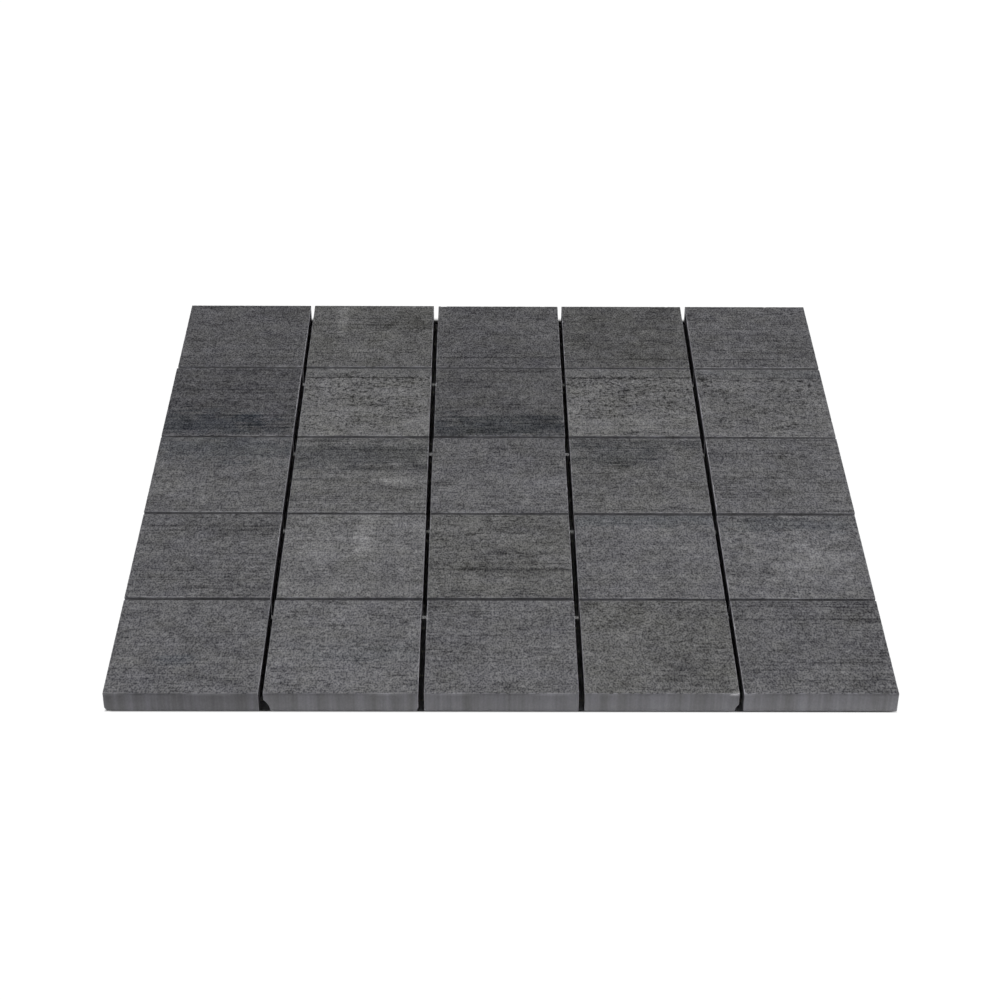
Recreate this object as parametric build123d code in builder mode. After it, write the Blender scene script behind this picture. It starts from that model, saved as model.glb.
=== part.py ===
from build123d import *
import os
from typing import NamedTuple

# Mosaic sheet: square sawn chips in rows and columns, glued face up on a backing net.
# Millimetres, +Z up. The origin is the middle of the sheet, on the plane that the net lies on.
# Row 1 is the front row (lowest Y), column 1 is the left column (lowest X).

# Sheet
rows = 5
columns = 5
joint_width = 1.5

# Chips
chip_side = 58.5
chip_thickness = 8.5
face_arris = 0.35
base_arris = 0.25

# Backing net: flat threads fused where they cross
thread_pitch = 15.0
thread_width = 1.0
net_thickness = 0.4
net_setback = 3.0

# Hand setting: how far a chip may drift from its place, and the steps of that drift
setting_play = 0.15
drift_steps = (0.0, 1.0, -0.6, 0.4, -1.0)


class BrokenCorner(NamedTuple):
    """A scoop broken out of a chip's base, at one end of its front face."""

    column: int
    side: int  # -1 is the left end, 1 the right end
    width: float
    height: float


# Corners broken out of the front row when the chips were sawn apart
front_breaks = (
    BrokenCorner(column=1, side=-1, width=1.0, height=1.5),
    BrokenCorner(column=2, side=-1, width=2.4, height=5.3),
    BrokenCorner(column=2, side=1, width=0.6, height=1.5),
    BrokenCorner(column=4, side=1, width=1.4, height=3.3),
)

# Sizes that follow
module = chip_side + joint_width
sheet_width = columns * module - joint_width
sheet_depth = rows * module - joint_width
net_width = sheet_width - 2 * net_setback
net_depth = sheet_depth - 2 * net_setback
threads_across = int((net_width - thread_width) // thread_pitch) + 1
threads_along = int((net_depth - thread_width) // thread_pitch) + 1


def chip_seat(row, column):
    """The plane on top of the net that one chip stands on, at the chip's middle."""
    drift_x = drift_steps[(2 * row + column) % len(drift_steps)] * setting_play
    drift_y = drift_steps[(row + 3 * column) % len(drift_steps)] * setting_play
    centre_x = (column - (columns + 1) / 2) * module + drift_x
    centre_y = (row - (rows + 1) / 2) * module + drift_y
    return Plane((centre_x, centre_y, net_thickness))


def scoop(seat, corner):
    """Centre and radius of the ball that breaks a corner out of the chip on a seat.

    The ball stands on the chip's base and front planes, so the break is steepest at the base.
    """
    radius = (corner.width**2 + corner.height**2) / (2 * corner.width)
    reach = chip_side / 2 - corner.width + radius
    return seat.from_local_coords((corner.side * reach, -chip_side / 2, 0)), radius


def make_chip(row, column):
    """One sawn chip with eased arrises, and its broken corners if it has any."""
    seat = chip_seat(row, column)
    breaks = [corner for corner in front_breaks if row == 1 and corner.column == column]
    with BuildPart() as chip:
        with BuildSketch(seat):
            Rectangle(chip_side, chip_side)
        extrude(amount=chip_thickness)
        chamfer(chip.faces().sort_by(Axis.Z)[-1].edges(), face_arris)
        chamfer(chip.faces().sort_by(Axis.Z)[0].edges(), base_arris)
        for corner in breaks:
            centre, radius = scoop(seat, corner)
            with Locations(centre):
                Sphere(radius, mode=Mode.SUBTRACT)
    chip.part.label = f"chip_row{row}_col{column}"
    return chip.part


with BuildPart() as net:
    with BuildSketch(Plane.XY):
        with GridLocations(thread_pitch, thread_pitch, threads_across, 1):
            Rectangle(thread_width, net_depth)
        with GridLocations(thread_pitch, thread_pitch, 1, threads_along):
            Rectangle(net_width, thread_width)
    extrude(amount=net_thickness)
net.part.label = "backing_net"

chips = [make_chip(row, column) for row in range(1, rows + 1) for column in range(1, columns + 1)]

os.makedirs("parts", exist_ok=True)
for piece in [*chips, net.part]:
    export_step(piece, f"parts/{piece.label}.step")
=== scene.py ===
import math
from typing import NamedTuple

import bmesh
import bpy
from bpy.props import FloatProperty, FloatVectorProperty, IntProperty, PointerProperty
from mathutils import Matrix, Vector


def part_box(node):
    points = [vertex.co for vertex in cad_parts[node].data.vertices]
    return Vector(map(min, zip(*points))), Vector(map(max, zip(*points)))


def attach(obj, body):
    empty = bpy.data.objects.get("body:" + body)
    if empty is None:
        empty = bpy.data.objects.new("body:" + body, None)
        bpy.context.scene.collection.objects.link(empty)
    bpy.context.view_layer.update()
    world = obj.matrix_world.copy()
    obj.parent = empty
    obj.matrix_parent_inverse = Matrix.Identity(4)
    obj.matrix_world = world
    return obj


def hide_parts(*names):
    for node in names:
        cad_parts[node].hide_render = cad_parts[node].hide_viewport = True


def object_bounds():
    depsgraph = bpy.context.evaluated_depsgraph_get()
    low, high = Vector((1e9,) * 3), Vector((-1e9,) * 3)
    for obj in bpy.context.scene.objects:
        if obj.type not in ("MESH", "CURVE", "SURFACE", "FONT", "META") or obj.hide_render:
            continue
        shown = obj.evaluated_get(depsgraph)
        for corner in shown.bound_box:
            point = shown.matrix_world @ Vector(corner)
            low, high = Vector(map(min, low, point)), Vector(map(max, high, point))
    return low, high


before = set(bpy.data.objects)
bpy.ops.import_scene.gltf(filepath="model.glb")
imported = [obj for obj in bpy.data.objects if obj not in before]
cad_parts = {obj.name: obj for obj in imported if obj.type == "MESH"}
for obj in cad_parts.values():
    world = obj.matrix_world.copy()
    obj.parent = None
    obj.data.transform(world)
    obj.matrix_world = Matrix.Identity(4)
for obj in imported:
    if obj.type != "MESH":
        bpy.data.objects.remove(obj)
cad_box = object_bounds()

bl_info = {
    "name": "Cement mosaic sheet",
    "version": (1, 0, 0),
    "blender": (4, 5, 0),
    "location": "View3D > Sidebar > Mosaic",
    "description": "Dresses a sheet of sawn cement-look chips and its backing net",
    "category": "Object",
}

MM = 0.001
ROWS = 5
COLUMNS = 5
NET_NODE = "backing_net"
WHITE = (1.0, 1.0, 1.0, 1.0)
BLACK = (0.0, 0.0, 0.0, 1.0)

# The share of an edge or a normal that lies along an axis, for it to count as running that way
ALONG = 0.999

# The seed of a chip's noise follows from its place in the sheet
SEED_PER_ROW = 50.0
SEED_PER_COLUMN = 10.0


class Patch(NamedTuple):
    """A soft patch of a chip face: its middle, its reach each way and how much it lightens the face.

    Millimetres from the middle of the chip, X to the right and Y to the back. A minus lift darkens.
    """

    x: float = 0.0
    y: float = 0.0
    reach_x: float = 10.0
    reach_y: float = 10.0
    lift: float = 0.0


class Finish(NamedTuple):
    """The look of one kind of chip. Tones run from 0, black, to 1, white, as the eye sees them.

    The face has one tone and the sawn body another, and blue is the share of the blue cast on the face.
    The amounts from speck to spot say how far each kind of mark shifts the tone. A dark seam may cross
    the face at seam_y millimetres from its middle, and up to two patches may lie on it.
    """

    tone: float
    blue: float = 1.0
    speck: float = 0.063
    grain: float = 0.115
    mottle: float = 0.08
    cloud: float = 0.05
    streak: float = 0.03
    dash: float = 0.05
    pit: float = 0.05
    spot: float = 0.0
    seam: float = 0.0
    seam_y: float = 0.0
    body: float = 0.515
    first: Patch = Patch()
    second: Patch = Patch()


PATCHES = ("first", "second")

# The reach of a patch that goes right across a chip
WIDE = 200.0

FINISHES = {
    "even": Finish(tone=0.374, first=Patch(0.0, -17.0, 45.0, 16.0, 0.02)),
    "even_smudged": Finish(tone=0.387, body=0.472, first=Patch(-3.0, -9.0, 7.0, 4.0, -0.045)),
    "even_pale": Finish(tone=0.39, dash=0.06),
    "lined": Finish(tone=0.376, body=0.537, streak=0.05, dash=0.06, seam=0.05, seam_y=17.0),
    "dashed": Finish(tone=0.415, body=0.521, dash=0.07, first=Patch(8.0, -4.0, 24.0, 8.0, -0.025)),
    "pale": Finish(tone=0.398, first=Patch(0.0, 26.0, WIDE, 5.0, -0.045)),
    "pale_strip": Finish(
        tone=0.416, blue=0.6, cloud=0.07, first=Patch(4.0, 14.0, 4.0, 19.0, 0.055),
        second=Patch(-10.0, 4.0, 15.0, 11.0, 0.03),
    ),
    "bleached": Finish(
        tone=0.4, mottle=0.12, cloud=0.06, pit=0.07, first=Patch(4.0, -3.0, 17.0, 11.0, 0.04),
        second=Patch(0.0, 23.0, 40.0, 6.0, -0.035),
    ),
    "olive": Finish(
        tone=0.375, blue=0.0, pit=0.08, dash=0.08, seam=0.06, seam_y=-10.0,
        first=Patch(0.0, 14.0, 18.0, 2.5, 0.045), second=Patch(0.0, -8.0, 18.0, 7.0, -0.045),
    ),
    "olive_blotched": Finish(
        tone=0.383, blue=0.0, body=0.53, pit=0.09, first=Patch(10.0, -14.0, 15.0, 9.0, -0.05),
        second=Patch(27.2, -29.2, 2.0, 1.2, 0.17),
    ),
    "shaded_back": Finish(
        tone=0.373, blue=0.8, first=Patch(5.0, 22.0, 45.0, 14.0, -0.05),
        second=Patch(-15.0, -14.0, 14.0, 12.0, 0.03),
    ),
    "streaked_back": Finish(
        tone=0.393, blue=0.3, streak=0.055, dash=0.05, seam=0.05, seam_y=20.0,
        first=Patch(0.0, 16.0, WIDE, 13.0, -0.07), second=Patch(18.0, -5.0, 12.0, 3.0, 0.06),
    ),
    "smudged_back": Finish(
        tone=0.379, blue=0.4, dash=0.07, first=Patch(-9.0, 16.0, 20.0, 9.0, -0.065),
        second=Patch(0.0, 24.0, WIDE, 6.0, -0.035),
    ),
    "pitted": Finish(
        tone=0.419, blue=0.2, pit=0.165, spot=0.03, dash=0.06, seam=0.13, seam_y=21.0,
        first=Patch(0.0, 26.0, WIDE, 4.5, -0.035),
    ),
    "spotted": Finish(
        tone=0.399, blue=0.6, pit=0.13, spot=0.09, seam=0.06, seam_y=21.5,
        first=Patch(0.0, 26.0, WIDE, 4.5, -0.03),
    ),
    "blotched": Finish(
        tone=0.312, blue=1.1, pit=0.07, streak=0.05, seam=0.06, seam_y=10.0,
        first=Patch(-11.0, -19.0, 30.0, 11.0, -0.05), second=Patch(10.0, -14.0, 8.0, 7.0, -0.045),
    ),
    "dark_front": Finish(
        tone=0.336, blue=0.7, streak=0.05, seam=0.06, seam_y=-13.0,
        first=Patch(-5.0, -21.0, 70.0, 9.5, -0.068),
    ),
    "fine_dark": Finish(tone=0.335, speck=0.072, seam=0.04, seam_y=-20.5),
    "fine_lined": Finish(tone=0.359, speck=0.072, streak=0.05, seam=0.06, seam_y=-22.0),
    "fine_olive": Finish(tone=0.331, blue=0.2, speck=0.068, seam=0.06, seam_y=-21.5),
    "weathered": Finish(
        tone=0.362, blue=0.0, speck=0.072, cloud=0.06, dash=0.08,
        first=Patch(-14.5, 17.0, 3.0, 18.0, 0.085), second=Patch(12.0, 13.0, 20.0, 8.0, -0.05),
    ),
}

# Faces of the chips, row by row from the front, each from left to right
LAYOUT = (
    ("even_smudged", "dashed", "even_pale", "olive_blotched", "lined"),
    ("lined", "pale_strip", "olive", "pale", "bleached"),
    ("shaded_back", "streaked_back", "even", "smudged_back", "lined"),
    ("blotched", "pitted", "dark_front", "pitted", "spotted"),
    ("fine_dark", "weathered", "fine_dark", "fine_olive", "fine_lined"),
)


class Mark(NamedTuple):
    """A kind of mark on a chip: the size of its noise along X, Y and Z, in millimetres, and its fineness.

    Where only the strong parts of the noise show, they fade in from its low level to its high one.
    """

    size: tuple
    detail: float = 1.0
    low: float = 0.0
    high: float = 1.0


# The place of a mark in this order is added to the seed of the chip
MARKS = {
    "speck": Mark((0.7, 1.05, 0.7), detail=0.0, low=0.3, high=0.6),
    "grain": Mark((1.2, 1.7, 1.2)),
    "mottle": Mark((3.6, 3.2, 3.2)),
    "cloud": Mark((16.0, 10.0, 10.0)),
    "streak": Mark((30.0, 1.1, 9.0), detail=2.0),
    "dash": Mark((6.0, 0.9, 9.0), low=0.6, high=0.7),
    "pit": Mark((1.8, 1.5, 1.4), low=0.54, high=0.73),
    "worn_zone": Mark((20.0, 9.0, 9.0), low=0.35, high=0.65),
    "blot": Mark((9.0, 5.0, 5.0), detail=3.0),
    "tint": Mark((11.0, 8.0, 8.0)),
    "kerf": Mark((5.0, 5.0, 60.0)),
    "body_grain": Mark((0.6, 0.6, 0.9)),
    "ragged_edge": Mark((1.8, 1.8, 1.8), detail=2.0),
    "hairline": Mark((60.0, 0.75, 9.0), detail=0.0, low=0.62, high=0.72),
    "spot": Mark((3.6, 2.6, 2.6), low=0.62, high=0.7),
    "rub": Mark((26.0, 26.0, 26.0), detail=0.0, low=0.42, high=0.62),
    "saw_line": Mark((0.8, 0.8, 60.0), detail=0.0),
}


class Wear(NamedTuple):
    """A kind of wear along the edges: its grain, in millimetres, and the noise levels it fades between."""

    name: str
    grain: float
    low: float
    high: float


CRUMBLE = Wear("crumbled_edge", grain=0.9, low=0.25, high=0.6)
NICKS = Wear("nicked_edge", grain=4.5, low=0.2, high=0.3)

# Rough skin of the broken corners, in millimetres
FRACTURE_GRAIN = 0.9
FRACTURE_DEPTH = 0.3


class BrokenCorner(NamedTuple):
    """A scoop broken out of the base of a front chip, at one end of its front face, in millimetres."""

    column: int
    side: int
    width: float
    height: float


BROKEN_CORNERS = (
    BrokenCorner(column=1, side=-1, width=1.0, height=1.5),
    BrokenCorner(column=2, side=-1, width=2.4, height=5.3),
    BrokenCorner(column=2, side=1, width=0.6, height=1.5),
    BrokenCorner(column=4, side=1, width=1.4, height=3.3),
)


class Flake(NamedTuple):
    """A flake off the top front edge of a front chip, x from the middle of the chip, in millimetres."""

    column: int
    x: float
    span: float
    depth: float


FLAKES = (Flake(column=4, x=26.8, span=3.4, depth=0.45),)


def length(name, description, millimetres):
    """A setting that is a length, given in millimetres."""
    return FloatProperty(
        name=name, description=description, default=millimetres * MM, min=0.0,
        unit="LENGTH", subtype="DISTANCE",
    )


def place(name, description, where):
    """A setting that is a place, given in metres."""
    return FloatVectorProperty(
        name=name, description=description, default=tuple(where), size=3,
        unit="LENGTH", subtype="TRANSLATION",
    )


def colour(name, description, red, green, blue):
    """A setting that is a colour."""
    return FloatVectorProperty(
        name=name, description=description, default=(red, green, blue), size=3, min=0.0, max=1.0,
        subtype="COLOR",
    )


class ChipSettings(bpy.types.PropertyGroup):
    """Sizes of the chips and of their wear."""

    arris: length("Arris", "Width of the eased edges", 0.2)
    side_clearance: length("Side clearance", "How far left and right sides stand inside the solid", 0.28)
    end_clearance: length("End clearance", "How far front and back stand inside the solid", 0.1)
    border: length("Border", "Strip along the edges of the face that wear can reach", 1.0)
    edge_cuts: IntProperty(name="Edge cuts", description="Cuts along each long edge", default=129, min=1)
    side_cuts: IntProperty(name="Side cuts", description="Cuts up each sawn side", default=7, min=1)
    crumble: length("Crumble", "Depth of the fine wear along the edges", 0.06)
    nick: length("Nick", "Depth of the few larger nicks", 0.16)
    relief: length("Relief", "Height of the fine relief of the surface", 0.06)


class NetSettings(bpy.types.PropertyGroup):
    """Sizes and colour of the backing net."""

    pitch: length("Pitch", "Distance from thread to thread", 15.0)
    weft_width: length("Weft width", "Width of the flat threads from left to right", 1.0)
    weft_height: length("Weft height", "Thickness of the flat threads", 0.2)
    yarn: length("Yarn", "Diameter of one of the twisted yarns from front to back", 0.19)
    cuts: IntProperty(name="Cuts", description="Cuts along a thread for each crossing", default=6, min=1)
    yarn_colour: colour("Yarn colour", "Colour of the sized glass yarn", 0.62, 0.61, 0.56)


class StageSettings(bpy.types.PropertyGroup):
    """The floor, lamps and camera around the sheet."""

    floor_side: length("Floor side", "Length of each side of the floor", 12000.0)
    floor_drop: length("Floor drop", "How far the floor lies below the sheet", 0.2)
    floor_colour: colour("Floor colour", "Colour of the pale floor", 0.9, 0.9, 0.9)
    left_lamp: place("Left lamp", "Where the left lamp hangs", (-2.3, -0.05, 1.0))
    right_lamp: place("Right lamp", "Where the right lamp hangs", (2.2, -0.15, 1.0))
    lamp_width: length("Lamp width", "Width of each lamp", 1100.0)
    lamp_height: length("Lamp height", "Height of each lamp", 900.0)
    lamp_power: FloatProperty(
        name="Lamp power", description="Power of each lamp", default=73.9, unit="POWER"
    )
    ambient: FloatProperty(
        name="Ambient", description="Strength of the light from all round", default=0.008, min=0.0
    )
    camera_place: place("Camera", "Where the camera stands", Vector((-7.0, -783.4, 523.4)) * MM)
    camera_turn: FloatVectorProperty(
        name="Camera turn", description="How the camera is turned", size=3, unit="ROTATION", subtype="EULER",
        default=[math.radians(angle) for angle in (56.03, -0.35, -0.299)],
    )
    lens: FloatProperty(
        name="Lens", description="Focal length of the camera", default=78.42, min=1.0, unit="CAMERA"
    )
    sensor: FloatProperty(
        name="Sensor", description="Width of the camera's sensor", default=36.0, min=1.0, unit="CAMERA"
    )


def deselect():
    """Leaves edit mode and clears the selection, so that an operator acts only on what comes next."""
    if bpy.context.object and bpy.context.object.mode != "OBJECT":
        bpy.ops.object.mode_set(mode="OBJECT")
    bpy.ops.object.select_all(action="DESELECT")


def choose(*pieces):
    """Makes these objects the only ones selected, and the first one active."""
    deselect()
    for piece in pieces:
        piece.select_set(True)
    bpy.context.view_layer.objects.active = pieces[0]


def pick(piece, domain, test):
    """In edit mode, selects only the vertices, edges or faces that pass a test."""
    bpy.ops.mesh.select_mode(type=domain)
    bpy.ops.mesh.select_all(action="DESELECT")
    shape = bmesh.from_edit_mesh(piece.data)
    parts = {"VERT": shape.verts, "EDGE": shape.edges, "FACE": shape.faces}[domain]
    for part in parts:
        if test(part):
            part.select_set(True)
    bmesh.update_edit_mesh(piece.data)


def runs_along(edge, axis, least):
    """True for an edge that lies along one axis and is longer than the least."""
    span = edge.verts[1].co - edge.verts[0].co
    return abs(span[axis]) > least and abs(span[axis]) > ALONG * span.length


def copy_piece(piece, name):
    """A copy of a piece with a mesh of its own."""
    made = piece.copy()
    made.data = piece.data.copy()
    made.name = name
    made.data.name = name
    bpy.context.scene.collection.objects.link(made)
    return made


def place_in_mesh(piece, where):
    """Moves a piece and leaves its object at the origin."""
    choose(piece)
    piece.location = where
    bpy.ops.object.transform_apply(location=True, rotation=True, scale=True)


def carve(piece, texture, depth, group):
    """Sinks the vertices of a group by up to a depth, deepest where the texture is dark."""
    choose(piece)
    wear = piece.modifiers.new("wear", "DISPLACE")
    wear.texture = texture
    wear.texture_coords = "LOCAL"
    wear.strength = depth
    wear.mid_level = 1.0
    wear.vertex_group = group
    bpy.ops.object.modifier_apply(modifier=wear.name)


def wear_texture(wear):
    """A cloud texture that is black below the low level of its noise and white above the high one."""
    texture = bpy.data.textures.new(wear.name, "CLOUDS")
    texture.noise_scale = wear.grain * MM
    texture.noise_depth = 2
    texture.use_color_ramp = True
    start, end = texture.color_ramp.elements
    start.position = wear.low
    start.color = BLACK
    end.position = wear.high
    end.color = WHITE
    return texture


def chip_name(row, column):
    """The name of a chip's solid in the frame."""
    return f"chip_row{row}_col{column}"


def blank_chip(size, look):
    """One chip about the origin: eased edges, cut finely so that wear can shape them."""
    deselect()
    bpy.ops.mesh.primitive_cube_add(size=1.0, scale=size)
    blank = bpy.context.object
    bpy.ops.object.transform_apply(location=True, rotation=True, scale=True)
    half = size / 2
    bpy.ops.object.mode_set(mode="EDIT")
    bpy.ops.mesh.select_all(action="SELECT")
    bpy.ops.mesh.bevel(offset=look.arris, segments=2, affect="EDGES")
    pick(blank, "FACE", lambda face: face.normal.z > ALONG)
    bpy.ops.mesh.inset(thickness=look.border)
    bpy.ops.mesh.delete(type="ONLY_FACE")
    pick(blank, "FACE", lambda face: face.normal.z < -ALONG)
    bpy.ops.mesh.delete(type="ONLY_FACE")
    for axis, cuts in enumerate((look.edge_cuts, look.edge_cuts, look.side_cuts)):
        pick(blank, "EDGE", lambda edge: runs_along(edge, axis, half[axis]))
        bpy.ops.mesh.subdivide(number_cuts=cuts)
    for sign in (1, -1):
        pick(blank, "EDGE", lambda edge: edge.is_boundary and edge.verts[0].co.z * sign > 0)
        bpy.ops.mesh.edge_face_add()
    bpy.ops.mesh.select_all(action="SELECT")
    bpy.ops.mesh.normals_make_consistent(inside=False)
    bpy.ops.object.mode_set(mode="OBJECT")
    group = blank.vertex_groups.new(name="arris")
    arrises_worn = 1.2
    near = [h - arrises_worn * look.arris for h in half]
    worn = [v.index for v in blank.data.vertices if sum(abs(v.co[i]) > near[i] for i in range(3)) > 1]
    group.add(worn, 1.0, "REPLACE")
    return blank


def scoop(chip, where, radius):
    """Takes a rough ball out of a chip."""
    deselect()
    bpy.ops.mesh.primitive_ico_sphere_add(subdivisions=5, radius=radius)
    ball = bpy.context.object
    place_in_mesh(ball, where)
    rough = bpy.data.textures.new("fracture", "CLOUDS")
    rough.noise_scale = FRACTURE_GRAIN * MM
    rough.noise_depth = 3
    shake = ball.modifiers.new("fracture", "DISPLACE")
    shake.texture = rough
    shake.texture_coords = "LOCAL"
    shake.strength = FRACTURE_DEPTH * MM
    bpy.ops.object.modifier_apply(modifier=shake.name)
    choose(chip)
    cut = chip.modifiers.new("break", "BOOLEAN")
    cut.operation = "DIFFERENCE"
    cut.solver = "EXACT"
    cut.object = ball
    bpy.ops.object.modifier_apply(modifier=cut.name)
    bpy.data.objects.remove(ball)


def break_corner(chip, corner, centre, half):
    """Breaks one corner out of the base of a chip."""
    radius = (corner.width**2 + corner.height**2) / (2 * corner.width) * MM
    reach = half.x - corner.width * MM + radius
    scoop(chip, centre + Vector((corner.side * reach, -half.y, -half.z)), radius)


def flake_edge(chip, flake, centre, half):
    """Takes a flake off the top front edge of a chip."""
    radius = ((flake.span / 2) ** 2 + flake.depth**2) / (2 * flake.depth) * MM
    away = (radius - flake.depth * MM) / math.sqrt(2.0)
    scoop(chip, centre + Vector((flake.x * MM, -half.y - away, half.z + away)), radius)


def damage_front(chip, column, centre, half):
    """Gives a chip of the front row the broken corners and flakes of its column."""
    for corner in BROKEN_CORNERS:
        if corner.column == column:
            break_corner(chip, corner, centre, half)
    for flake in FLAKES:
        if flake.column == column:
            flake_edge(chip, flake, centre, half)


class Wiring:
    """Adds nodes to one tree. A socket given as an input is linked, and anything else is set."""

    def __init__(self, tree):
        self.tree = tree

    def add(self, kind, inputs=None, **settings):
        """One node, with its settings and its inputs by name or number."""
        node = self.tree.nodes.new(kind)
        for name, value in settings.items():
            setattr(node, name, value)
        for name, value in (inputs or {}).items():
            if isinstance(value, bpy.types.NodeSocket):
                self.tree.links.new(value, node.inputs[name])
            else:
                node.inputs[name].default_value = value
        return node

    def math(self, operation, *values):
        """The result of a sum on numbers."""
        return self.add("ShaderNodeMath", dict(enumerate(values)), operation=operation).outputs[0]

    def vector(self, operation, *values):
        """The result of a sum on vectors."""
        return self.add("ShaderNodeVectorMath", dict(enumerate(values)), operation=operation).outputs[0]

    def total(self, first, *others):
        """All the values added up."""
        for other in others:
            first = self.math("ADD", first, other)
        return first

    def noise(self, where, size, seed, detail=1.0):
        """Noise from 0 to 1 about a half, with features of the given size along X, Y and Z."""
        scaled = self.vector("DIVIDE", where, size)
        settings = {"Vector": scaled, "W": seed, "Scale": 1.0, "Detail": detail, "Roughness": 0.55}
        return self.add("ShaderNodeTexNoise", settings, noise_dimensions="4D").outputs["Fac"]

    def swing(self, value, amount):
        """A noise turned to run from minus to plus an amount."""
        return self.math("MULTIPLY", self.math("MULTIPLY_ADD", value, 2.0, -1.0), amount)

    def ease(self, value, low, high, start=0.0, end=1.0):
        """Runs smoothly from start to end as a value goes from low to high."""
        settings = {"Value": value, "From Min": low, "From Max": high, "To Min": start, "To Max": end}
        return self.add("ShaderNodeMapRange", settings, interpolation_type="SMOOTHSTEP").outputs["Result"]

    def mix(self, factor, first, second):
        """Goes from the first number to the second as the factor goes from 0 to 1."""
        return self.add("ShaderNodeMix", {"Factor": factor, "A": first, "B": second}).outputs["Result"]

    def tinted(self, base, shade):
        """A colour made lighter or darker by a shade."""
        return self.add("ShaderNodeVectorMath", {0: base, "Scale": shade}, operation="SCALE").outputs[0]


def new_material(name):
    """A material with no nodes, the wiring of its tree and its Object coordinates."""
    material = bpy.data.materials.new(name)
    material.use_nodes = True
    material.node_tree.nodes.clear()
    wire = Wiring(material.node_tree)
    return material, wire, wire.add("ShaderNodeTexCoord").outputs["Object"]


def group_inputs():
    """The sockets of the cement group that a finish sets, each with its kind."""
    sockets = {}
    for field in Finish._fields:
        if field in PATCHES:
            sockets[f"{field} middle"] = "NodeSocketVector"
            sockets[f"{field} reach"] = "NodeSocketVector"
            sockets[f"{field} lift"] = "NodeSocketFloat"
        else:
            sockets[field] = "NodeSocketFloat"
    return sockets


def set_finish(node, finish):
    """Sets the sockets of a cement group node to one finish."""
    for field, value in finish._asdict().items():
        if isinstance(value, Patch):
            node.inputs[f"{field} middle"].default_value = (value.x, value.y, 0.0)
            node.inputs[f"{field} reach"].default_value = (value.reach_x, value.reach_y, 1.0)
            node.inputs[f"{field} lift"].default_value = value.lift
        else:
            node.inputs[field].default_value = value


class Surface(NamedTuple):
    """What a kind of surface shows: its tone, the red and the blue added to it, and its relief."""

    tone: object
    red: object
    blue: object
    height: object


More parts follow.
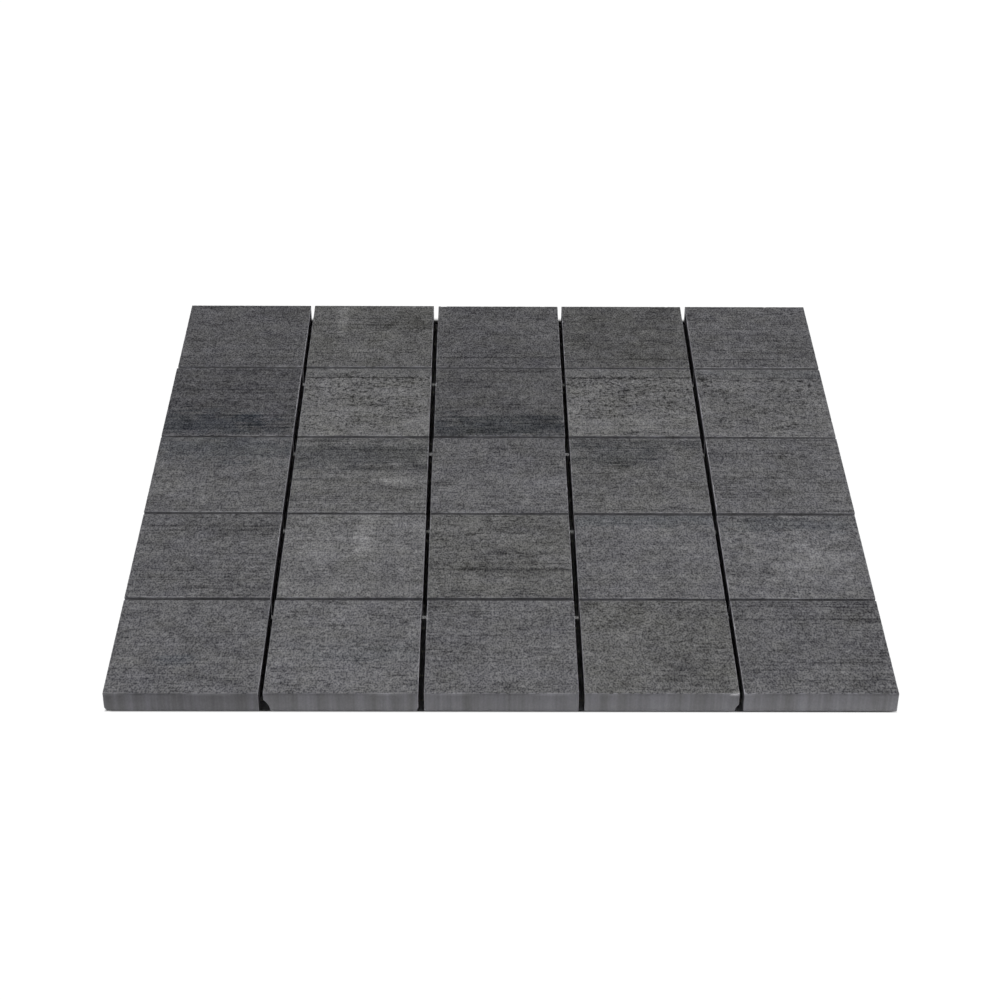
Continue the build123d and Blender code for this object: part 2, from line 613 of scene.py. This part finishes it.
class CementNodes:
    """The nodes of the cement look. Lengths are millimetres from the middle of the chip."""

    def __init__(self, group, half):
        self.wire = Wiring(group)
        self.half_x, self.half_y, self.top = (side / MM for side in half)
        self.given = self.wire.add("NodeGroupInput").outputs
        self.axes = self.wire.add("ShaderNodeSeparateXYZ", {"Vector": self.given["place"]}).outputs
        self.noise = {}
        for step, (name, mark) in enumerate(MARKS.items()):
            seed = self.wire.math("ADD", self.given["seed"], float(step))
            self.noise[name] = self.wire.noise(self.given["place"], mark.size, seed, mark.detail)
        dark_speck = -0.15
        pale_speck = 0.85
        self.noise["speck"] = self.shown("speck", self.noise["speck"], dark_speck, pale_speck)
        self.rub = self.shown("rub", self.noise["rub"])
        self.cover = {name: self.patch(name) for name in PATCHES}
        lifts = {name: self.given[f"{name} lift"] for name in PATCHES}
        self.patches = self.wire.total(*self.weighed(self.cover, lifts))

    def shown(self, name, value, start=0.0, end=1.0):
        """Runs from start to end as a value goes from a mark's low level to its high one."""
        return self.wire.ease(value, MARKS[name].low, MARKS[name].high, start, end)

    def swings(self, amounts):
        """The noise of each of these marks, turned to run from minus to plus its amount."""
        return [self.wire.swing(self.noise[name], amount) for name, amount in amounts.items()]

    def weighed(self, covers, amounts):
        """Each cover times its amount."""
        return [self.wire.math("MULTIPLY", cover, amounts[name]) for name, cover in covers.items()]

    def patch(self, name):
        """The cover of a patch, 1 in its middle and 0 outside. Blots and streaks make its edge ragged."""
        wire = self.wire
        fade_starts = 0.35
        fade_ends = 1.25
        flat = wire.add("ShaderNodeCombineXYZ", {"X": self.axes["X"], "Y": self.axes["Y"]}).outputs[0]
        offset = wire.vector("SUBTRACT", flat, self.given[f"{name} middle"])
        share = wire.vector("DIVIDE", offset, self.given[f"{name} reach"])
        far = wire.add("ShaderNodeVectorMath", {0: share}, operation="LENGTH").outputs["Value"]
        ragged = wire.total(*self.swings({"blot": 1.4, "streak": 1.2}))
        return wire.ease(wire.math("ADD", far, ragged), fade_starts, fade_ends, 1.0, 0.0)

    def seam(self):
        """The cover of the dark seam: a wavy line along X with gaps in it."""
        wire = self.wire
        wave = 0.6
        half_width = 0.3
        soft_edge = 0.5
        gap_level = 0.22
        line_level = 0.47
        bend = wire.swing(self.noise["cloud"], wave)
        offset = wire.total(self.axes["Y"], bend, wire.math("MULTIPLY", self.given["seam_y"], -1.0))
        far = wire.math("ABSOLUTE", offset)
        line = wire.ease(far, half_width, half_width + soft_edge, 1.0, 0.0)
        return wire.math("MULTIPLY", line, wire.ease(self.noise["dash"], gap_level, line_level))

    def dark_marks(self):
        """The cover of each dark mark of the face. Pits and spots keep off the first patch."""
        wire = self.wire
        more_pits_worn = 0.06
        more_pits_behind = 0.0016
        more_dashes_worn = 0.08
        more_lines_worn = 0.06
        worn = self.shown("worn_zone", self.noise["worn_zone"])
        more_pits = wire.math(
            "MULTIPLY_ADD", self.axes["Y"], more_pits_behind, wire.math("MULTIPLY", worn, more_pits_worn)
        )
        unpatched = wire.math("SUBTRACT", 1.0, self.cover["first"])
        covers = {}
        for name in ("pit", "spot"):
            all_over = self.shown(name, wire.math("ADD", more_pits, self.noise[name]))
            covers[name] = wire.math("MULTIPLY", all_over, unpatched)
        dashes = wire.math("MULTIPLY_ADD", worn, more_dashes_worn, self.noise["dash"])
        covers["dash"] = self.shown("dash", dashes)
        lines = wire.math("MULTIPLY_ADD", worn, more_lines_worn, self.noise["hairline"])
        covers["streak"] = self.shown("hairline", lines)
        covers["seam"] = self.seam()
        return covers

    def rubbed(self):
        """How much stretches of the front edge are rubbed pale."""
        wire = self.wire
        lift = 0.07
        rub_starts = 0.3
        rub_ends = 0.8
        ragged = 0.3
        from_front = wire.total(self.axes["Y"], self.half_y, wire.swing(self.noise["grain"], ragged))
        return wire.math("MULTIPLY", self.rub, wire.ease(from_front, rub_starts, rub_ends, lift, 0.0))

    def face(self):
        """The printed face: marked and patched cement with a cool cast, bluest in its dark patches."""
        wire = self.wire
        given = self.given
        covers = self.dark_marks()
        dark = wire.total(*self.weighed(covers, given))
        swings = self.swings({name: given[name] for name in ("speck", "grain", "mottle", "cloud", "streak")})
        marked = wire.total(given["tone"], self.patches, *swings)
        tone = wire.math("ADD", wire.math("SUBTRACT", marked, dark), self.rubbed())

        plain_blue = 0.0075
        shade_blue = -0.09
        plain_red = 0.0015
        shade_red = 0.13
        shade = wire.math("MINIMUM", self.patches, 0.0)
        cast = wire.math("MULTIPLY_ADD", shade, shade_blue, plain_blue)
        tints = self.swings({"tint": 0.01, "speck": -0.004})
        blue = wire.total(wire.math("MULTIPLY", given["blue"], cast), *tints)
        less_red = wire.math("MULTIPLY", wire.math("MULTIPLY", shade, given["blue"]), shade_red)
        red = wire.math("ADD", less_red, plain_red)

        speck_height = 0.6
        pit_depth = -0.8
        specks_up = wire.math("MULTIPLY", self.noise["speck"], speck_height)
        pits_down = wire.math("MULTIPLY", covers["pit"], pit_depth)
        return Surface(tone, red, blue, wire.total(self.noise["grain"], specks_up, pits_down))

    def body(self):
        """The sawn body of the sides, the base and the worn edges. The top of the sides is painted darker, a
        painted shade of the joints, paler where rubbed and with the face's patches soaked in; the foot is
        painted darker, a painted contact shadow.
        """
        wire = self.wire
        up = self.axes["Z"]
        soak_ends = self.top - 1.4
        soak_starts = self.top - 0.5
        # painted shade: the top of the sawn sides is darkened because the joints are in shade; rubbed
        # stretches stay paler and the face's patches soak in
        painted_joint_shade = -0.045
        soak_pale = 0.05
        # painted contact shadow: the base of the sawn sides is darkened
        foot_ends = 0.5 - self.top
        foot_shade = -0.02
        paler_below = 0.03
        rise = wire.ease(up, -self.top, self.top, paler_below, -paler_below)
        painted_shade_and_soak_tone = wire.math("ADD", wire.mix(self.rub, painted_joint_shade, soak_pale), self.patches)
        painted_shade_and_soak = wire.math("MULTIPLY", wire.ease(up, soak_ends, soak_starts), painted_shade_and_soak_tone)
        painted_foot_shadow = wire.ease(up, -self.top, foot_ends, foot_shade, 0.0)
        sawn = wire.total(*self.swings({"kerf": 0.11, "saw_line": 0.035, "body_grain": 0.04}))
        tone = wire.total(self.given["body"], rise, painted_shade_and_soak, painted_foot_shadow, sawn)

        plain_blue = 0.0135
        kerf_blue = 0.02
        plain_red = 0.002
        blue = wire.math("ADD", plain_blue, wire.swing(self.noise["kerf"], kerf_blue))
        return Surface(tone, plain_red, blue, wire.total(self.noise["kerf"], self.noise["body_grain"]))

    def printed(self):
        """1 on the face and 0 on the body: the print stops at the worn edge."""
        wire = self.wire
        print_ends = self.top - 0.3
        print_starts = self.top - 0.12
        bare_margin = 0.05
        full_margin = 0.3
        raggedness = 0.9
        inset_x = wire.math("SUBTRACT", self.half_x, wire.math("ABSOLUTE", self.axes["X"]))
        inset_y = wire.math("SUBTRACT", self.half_y, wire.math("ABSOLUTE", self.axes["Y"]))
        inset = wire.math("MINIMUM", inset_x, inset_y)
        ragged = wire.swing(self.noise["ragged_edge"], raggedness)
        on_face = wire.ease(wire.math("ADD", inset, ragged), bare_margin, full_margin)
        on_top = wire.ease(self.axes["Z"], print_ends, print_starts)
        return wire.math("MULTIPLY", on_face, on_top)


def cement_group(half):
    """The node group that all chips share: printed cement on the face, plain sawn body below it."""
    group = bpy.data.node_groups.new("cement_chip", "ShaderNodeTree")
    inputs = {"place": "NodeSocketVector", "seed": "NodeSocketFloat", **group_inputs()}
    for name, kind in inputs.items():
        group.interface.new_socket(name, in_out="INPUT", socket_type=kind)
    outputs = {"colour": "NodeSocketColor", "roughness": "NodeSocketFloat", "height": "NodeSocketFloat"}
    for name, kind in outputs.items():
        group.interface.new_socket(name, in_out="OUTPUT", socket_type=kind)
    nodes = CementNodes(group, half)
    wire = nodes.wire
    face = nodes.face()
    body = nodes.body()
    printed = nodes.printed()
    tone = wire.mix(printed, body.tone, face.tone)
    seen = {
        "Red": wire.math("ADD", tone, wire.mix(printed, body.red, face.red)),
        "Green": tone,
        "Blue": wire.math("ADD", tone, wire.mix(printed, body.blue, face.blue)),
    }
    eye_to_light = 2.2
    light = {}
    for name, part in seen.items():
        light[name] = wire.math("POWER", wire.math("MAXIMUM", part, 0.0), eye_to_light)
    mixed = wire.add("ShaderNodeCombineColor", light).outputs[0]
    height = wire.mix(printed, body.height, face.height)
    smoothest = 0.68
    rougher_by = 0.2
    roughness = wire.math("MULTIPLY_ADD", nodes.noise["grain"], rougher_by, smoothest)
    wire.add("NodeGroupOutput", {"colour": mixed, "roughness": roughness, "height": height})
    return group


def chip_material(name, group, centre, seed, finish, relief):
    """The shared cement look, centred on one chip and set to one finish."""
    material, wire, coords = new_material(name)
    per_mm = 1.0 / MM
    to_chip = {"Vector": coords, "Scale": (per_mm, per_mm, per_mm), "Location": -centre * per_mm}
    mapped = wire.add("ShaderNodeMapping", to_chip)
    cement = wire.add("ShaderNodeGroup", node_tree=group)
    wire.tree.links.new(mapped.outputs[0], cement.inputs["place"])
    cement.inputs["seed"].default_value = seed
    set_finish(cement, finish)
    surface = cement.outputs
    bump = wire.add("ShaderNodeBump", {"Height": surface["height"], "Strength": 0.5, "Distance": relief})
    shader = wire.add(
        "ShaderNodeBsdfPrincipled",
        {
            "Base Color": surface["colour"],
            "Roughness": surface["roughness"],
            "Specular IOR Level": 0.08,
            "Normal": bump.outputs[0],
        },
    )
    wire.add("ShaderNodeOutputMaterial", {"Surface": shader.outputs[0]})
    return material


class MOSAIC_OT_chips(bpy.types.Operator):
    """Models the chips: worn edges, broken corners and a cement face of their own"""

    bl_idname = "mosaic.chips"
    bl_label = "Set the chips"

    def execute(self, context):
        look = context.scene.mosaic_chips
        low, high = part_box(chip_name(1, 1))
        size = high - low - 2.0 * Vector((look.side_clearance, look.end_clearance, 0.0))
        half = size / 2
        blank = blank_chip(size, look)
        fine = wear_texture(CRUMBLE)
        coarse = wear_texture(NICKS)
        group = cement_group(half)
        for row in range(1, ROWS + 1):
            for column in range(1, COLUMNS + 1):
                node = chip_name(row, column)
                low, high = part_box(node)
                centre = (low + high) / 2
                chip = copy_piece(blank, f"cement_chip_{row}_{column}")
                place_in_mesh(chip, centre)
                carve(chip, fine, look.crumble, "arris")
                carve(chip, coarse, look.nick, "arris")
                if row == 1:
                    damage_front(chip, column, centre, half)
                finish = FINISHES[LAYOUT[row - 1][column - 1]]
                seed = SEED_PER_ROW * row + SEED_PER_COLUMN * column
                material = chip_material(chip.name, group, centre, seed, finish, look.relief)
                chip.data.materials.clear()
                chip.data.materials.append(material)
                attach(chip, "root")
                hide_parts(node)
        bpy.data.objects.remove(blank)
        return {"FINISHED"}


def flat_weft(span, look, crossings):
    """One flat weft along X, pinched where the warps hold it."""
    deselect()
    bpy.ops.mesh.primitive_cylinder_add(
        vertices=8, radius=0.5, depth=span, rotation=(0.0, math.pi / 2, 0.0),
        scale=(look.weft_height, look.weft_width, 1.0),
    )
    weft = bpy.context.object
    bpy.ops.object.transform_apply(location=True, rotation=True, scale=True)
    bpy.ops.object.mode_set(mode="EDIT")
    pick(weft, "EDGE", lambda edge: runs_along(edge, 0, span / 2))
    bpy.ops.mesh.subdivide(number_cuts=look.cuts * len(crossings))
    held = 0.1 * look.pitch
    narrower = 0.7
    thicker = 1.1
    pick(weft, "VERT", lambda vertex: min(abs(vertex.co.x - x) for x in crossings) < held)
    bpy.ops.transform.resize(value=(1.0, narrower, thicker), center_override=(0.0, 0.0, 0.0))
    bpy.ops.object.mode_set(mode="OBJECT")
    return weft


def twisted_warp(span, look):
    """One pair of warp yarns along Y, turning half round from weft to weft."""
    yarns = []
    for side in (-1, 1):
        deselect()
        bpy.ops.mesh.primitive_cylinder_add(
            vertices=6, radius=look.yarn / 2, depth=span, location=(side * look.yarn / 2, 0.0, 0.0),
            rotation=(math.pi / 2, 0.0, 0.0),
        )
        yarns.append(bpy.context.object)
    choose(*yarns)
    bpy.ops.object.join()
    warp = bpy.context.object
    bpy.ops.object.transform_apply(location=True, rotation=True, scale=True)
    bpy.ops.object.mode_set(mode="EDIT")
    pick(warp, "EDGE", lambda edge: runs_along(edge, 1, span / 2))
    bpy.ops.mesh.subdivide(number_cuts=int(look.cuts * span / look.pitch))
    bpy.ops.object.mode_set(mode="OBJECT")
    twist = warp.modifiers.new("twist", "SIMPLE_DEFORM")
    twist.deform_method = "TWIST"
    twist.deform_axis = "Y"
    twist.angle = math.pi * span / look.pitch
    bpy.ops.object.modifier_apply(modifier=twist.name)
    return warp


def yarn_material(name, yarn_colour, along):
    """Sized glass yarn: fine fibres along the thread, with a slight gloss."""
    material, wire, coords = new_material(name)
    fibre_width = 0.05 * MM
    fibre_length = 3.0 * MM
    sizing_patch = 9.0 * MM
    fibre_height = 0.03 * MM
    fibre_size = [fibre_width] * 3
    fibre_size[along] = fibre_length
    fibre = wire.noise(coords, fibre_size, seed=1.0, detail=2.0)
    sizing = wire.noise(coords, [sizing_patch] * 3, seed=2.0)
    shade = wire.total(wire.ease(fibre, 0.3, 0.7, 0.75, 1.05), wire.swing(sizing, 0.12))
    bump = wire.add("ShaderNodeBump", {"Height": fibre, "Strength": 0.6, "Distance": fibre_height})
    shader = wire.add(
        "ShaderNodeBsdfPrincipled",
        {
            "Base Color": wire.tinted(yarn_colour, shade),
            "Roughness": wire.math("MULTIPLY_ADD", fibre, 0.3, 0.35),
            "Normal": bump.outputs[0],
        },
    )
    wire.add("ShaderNodeOutputMaterial", {"Surface": shader.outputs[0]})
    return material


class MOSAIC_OT_net(bpy.types.Operator):
    """Weaves the backing net: flat wefts, each held between pairs of twisted warp yarns"""

    bl_idname = "mosaic.net"
    bl_label = "Weave the net"

    def execute(self, context):
        look = context.scene.mosaic_net
        low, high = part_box(NET_NODE)
        size = high - low
        middle = (low + high) / 2
        count = int((size.x - look.weft_width) // look.pitch) + 1
        places = [(k - (count - 1) / 2) * look.pitch for k in range(count)]
        weft = flat_weft(size.x, look, places)
        weft.data.materials.append(yarn_material("glass_weft", look.yarn_colour, along=0))
        warp = twisted_warp(size.y, look)
        warp.data.materials.append(yarn_material("glass_warp", look.yarn_colour, along=1))
        threads = []
        for offset in places:
            across = copy_piece(weft, "weft")
            place_in_mesh(across, middle + Vector((0.0, offset, 0.0)))
            along = copy_piece(warp, "warp")
            place_in_mesh(along, middle + Vector((offset, 0.0, 0.0)))
            threads += [across, along]
        choose(*threads)
        bpy.ops.object.join()
        net = bpy.context.object
        net.name = "woven_net"
        net.data.name = "woven_net"
        bpy.ops.object.shade_smooth_by_angle(angle=math.radians(50.0))
        for model in (weft, warp):
            bpy.data.objects.remove(model)
        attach(net, "root")
        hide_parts(NET_NODE)
        return {"FINISHED"}


def seen_directly(wire):
    """1 for rays from the camera, a mirror or a glass, and 0 for the rays that carry light."""
    path = wire.add("ShaderNodeLightPath").outputs
    bounced = wire.math("MAXIMUM", path["Is Glossy Ray"], path["Is Transmission Ray"])
    return wire.math("MAXIMUM", path["Is Camera Ray"], bounced)


def floor_material(floor_colour):
    """Pale floor that takes the shadow.

    Around the sheet it is seen as a white ground, and under the sheet it is painted darker, a painted
    shade that keeps the joints dark. A narrow dark band close behind the back edge is a painted contact
    shadow.
    """
    material, wire, coords = new_material("studio_floor")
    where = wire.add("ShaderNodeSeparateXYZ", {"Vector": coords}).outputs
    edge = cad_box[1].x

    def past_edge(value, low, high, start=0.0, end=1.0):
        """Runs from start to end between two distances past the edge of the sheet, in millimetres."""
        return wire.ease(value, edge + low * MM, edge + high * MM, start, end)

    across = wire.math("ABSOLUTE", where["X"])
    far = wire.math("MAXIMUM", across, wire.math("ABSOLUTE", where["Y"]))
    around = past_edge(far, -1.0, -0.1)
    # painted contact shadow: the band of floor close behind the back edge of the sheet
    behind = past_edge(where["Y"], -2.0, -1.0)
    close = past_edge(where["Y"], 0.8, 5.0, 1.0, 0.0)
    within = past_edge(across, -4.0, 0.0, 1.0, 0.0)
    shadow = wire.math("MULTIPLY", wire.math("MULTIPLY", behind, close), within)
    clear = wire.math("MULTIPLY", around, wire.math("SUBTRACT", 1.0, shadow))

    white_share = 0.9
    white_strength = 1.06
    # painted shade: how dark the floor is painted under the sheet
    shade_under = 0.65
    shade_behind = 0.03
    share = wire.math("MULTIPLY", wire.math("MULTIPLY", seen_directly(wire), clear), white_share)
    # painted shade under the sheet, times the painted contact shadow close behind it
    painted_shade = wire.math("MULTIPLY", wire.mix(around, shade_under, 1.0), wire.mix(shadow, 1.0, shade_behind))
    pale = wire.add("ShaderNodeBsdfDiffuse", {"Color": wire.tinted(floor_colour, painted_shade)})
    white = wire.add("ShaderNodeEmission", {"Color": WHITE, "Strength": white_strength})
    mixed = wire.add("ShaderNodeMixShader", {0: share, 1: pale.outputs[0], 2: white.outputs[0]})
    wire.add("ShaderNodeOutputMaterial", {"Surface": mixed.outputs[0]})
    return material


def pale_floor(stage):
    """The floor that the sheet lies on."""
    deselect()
    bpy.ops.mesh.primitive_plane_add(size=stage.floor_side, location=(0.0, 0.0, -stage.floor_drop))
    floor = bpy.context.object
    floor.name = "studio_floor"
    bpy.ops.object.transform_apply(location=True, rotation=True, scale=True)
    floor.data.materials.append(floor_material(stage.floor_colour))
    return floor


def soft_lamp(name, where, stage):
    """One large soft lamp that looks at the sheet."""
    deselect()
    bpy.ops.object.light_add(type="AREA", location=where)
    lamp = bpy.context.object
    lamp.name = name
    lamp.data.shape = "RECTANGLE"
    lamp.data.size = stage.lamp_width
    lamp.data.size_y = stage.lamp_height
    lamp.data.energy = stage.lamp_power
    lamp.rotation_euler = (-Vector(where)).to_track_quat("-Z", "Y").to_euler()


def studio_world(ambient):
    """A white surround that lights the sheet only a little."""
    world = bpy.data.worlds.new("studio")
    world.use_nodes = True
    world.node_tree.nodes.clear()
    wire = Wiring(world.node_tree)
    strength = wire.mix(seen_directly(wire), ambient, 1.0)
    ground = wire.add("ShaderNodeBackground", {"Color": WHITE, "Strength": strength})
    wire.add("ShaderNodeOutputWorld", {"Surface": ground.outputs[0]})
    return world


def studio_camera(stage):
    """The camera, where the photograph was taken from."""
    camera_data = bpy.data.cameras.new("camera")
    camera_data.lens = stage.lens
    camera_data.sensor_width = stage.sensor
    camera = bpy.data.objects.new("camera", camera_data)
    camera.location = stage.camera_place
    camera.rotation_euler = stage.camera_turn
    return camera


class MOSAIC_OT_stage(bpy.types.Operator):
    """Lays the pale floor, hangs the lamps and stands the camera where the photograph was taken"""

    bl_idname = "mosaic.stage"
    bl_label = "Set the stage"

    def execute(self, context):
        scene = context.scene
        stage = scene.mosaic_stage
        floor = pale_floor(stage)
        soft_lamp("left_lamp", stage.left_lamp, stage)
        soft_lamp("right_lamp", stage.right_lamp, stage)
        scene.world = studio_world(stage.ambient)
        camera = studio_camera(stage)
        scene.collection.objects.link(camera)
        scene.camera = camera
        scene.view_settings.view_transform = "Standard"
        return {"FINISHED"}


class MOSAIC_PT_panel(bpy.types.Panel):
    """Lists the steps and settings of the mosaic sheet"""

    bl_idname = "MOSAIC_PT_panel"
    bl_label = "Cement mosaic sheet"
    bl_space_type = "VIEW_3D"
    bl_region_type = "UI"
    bl_category = "Mosaic"

    def draw(self, context):
        scene = context.scene
        for step, settings in (
            (MOSAIC_OT_chips, scene.mosaic_chips),
            (MOSAIC_OT_net, scene.mosaic_net),
            (MOSAIC_OT_stage, scene.mosaic_stage),
        ):
            box = self.layout.box()
            box.operator(step.bl_idname)
            for name in settings.__annotations__:
                box.prop(settings, name)


CLASSES = (
    ChipSettings,
    NetSettings,
    StageSettings,
    MOSAIC_OT_chips,
    MOSAIC_OT_net,
    MOSAIC_OT_stage,
    MOSAIC_PT_panel,
)


def register():
    """Makes the steps and settings known to Blender."""
    for item in CLASSES:
        bpy.utils.register_class(item)
    bpy.types.Scene.mosaic_chips = PointerProperty(type=ChipSettings)
    bpy.types.Scene.mosaic_net = PointerProperty(type=NetSettings)
    bpy.types.Scene.mosaic_stage = PointerProperty(type=StageSettings)


def unregister():
    """Takes the steps and settings out again."""
    del bpy.types.Scene.mosaic_stage
    del bpy.types.Scene.mosaic_net
    del bpy.types.Scene.mosaic_chips
    for item in reversed(CLASSES):
        bpy.utils.unregister_class(item)


def main():
    """Dresses the sheet and sets the stage."""
    register()
    bpy.ops.mosaic.chips()
    bpy.ops.mosaic.net()
    bpy.ops.mosaic.stage()


if __name__ == "__main__":
    main()
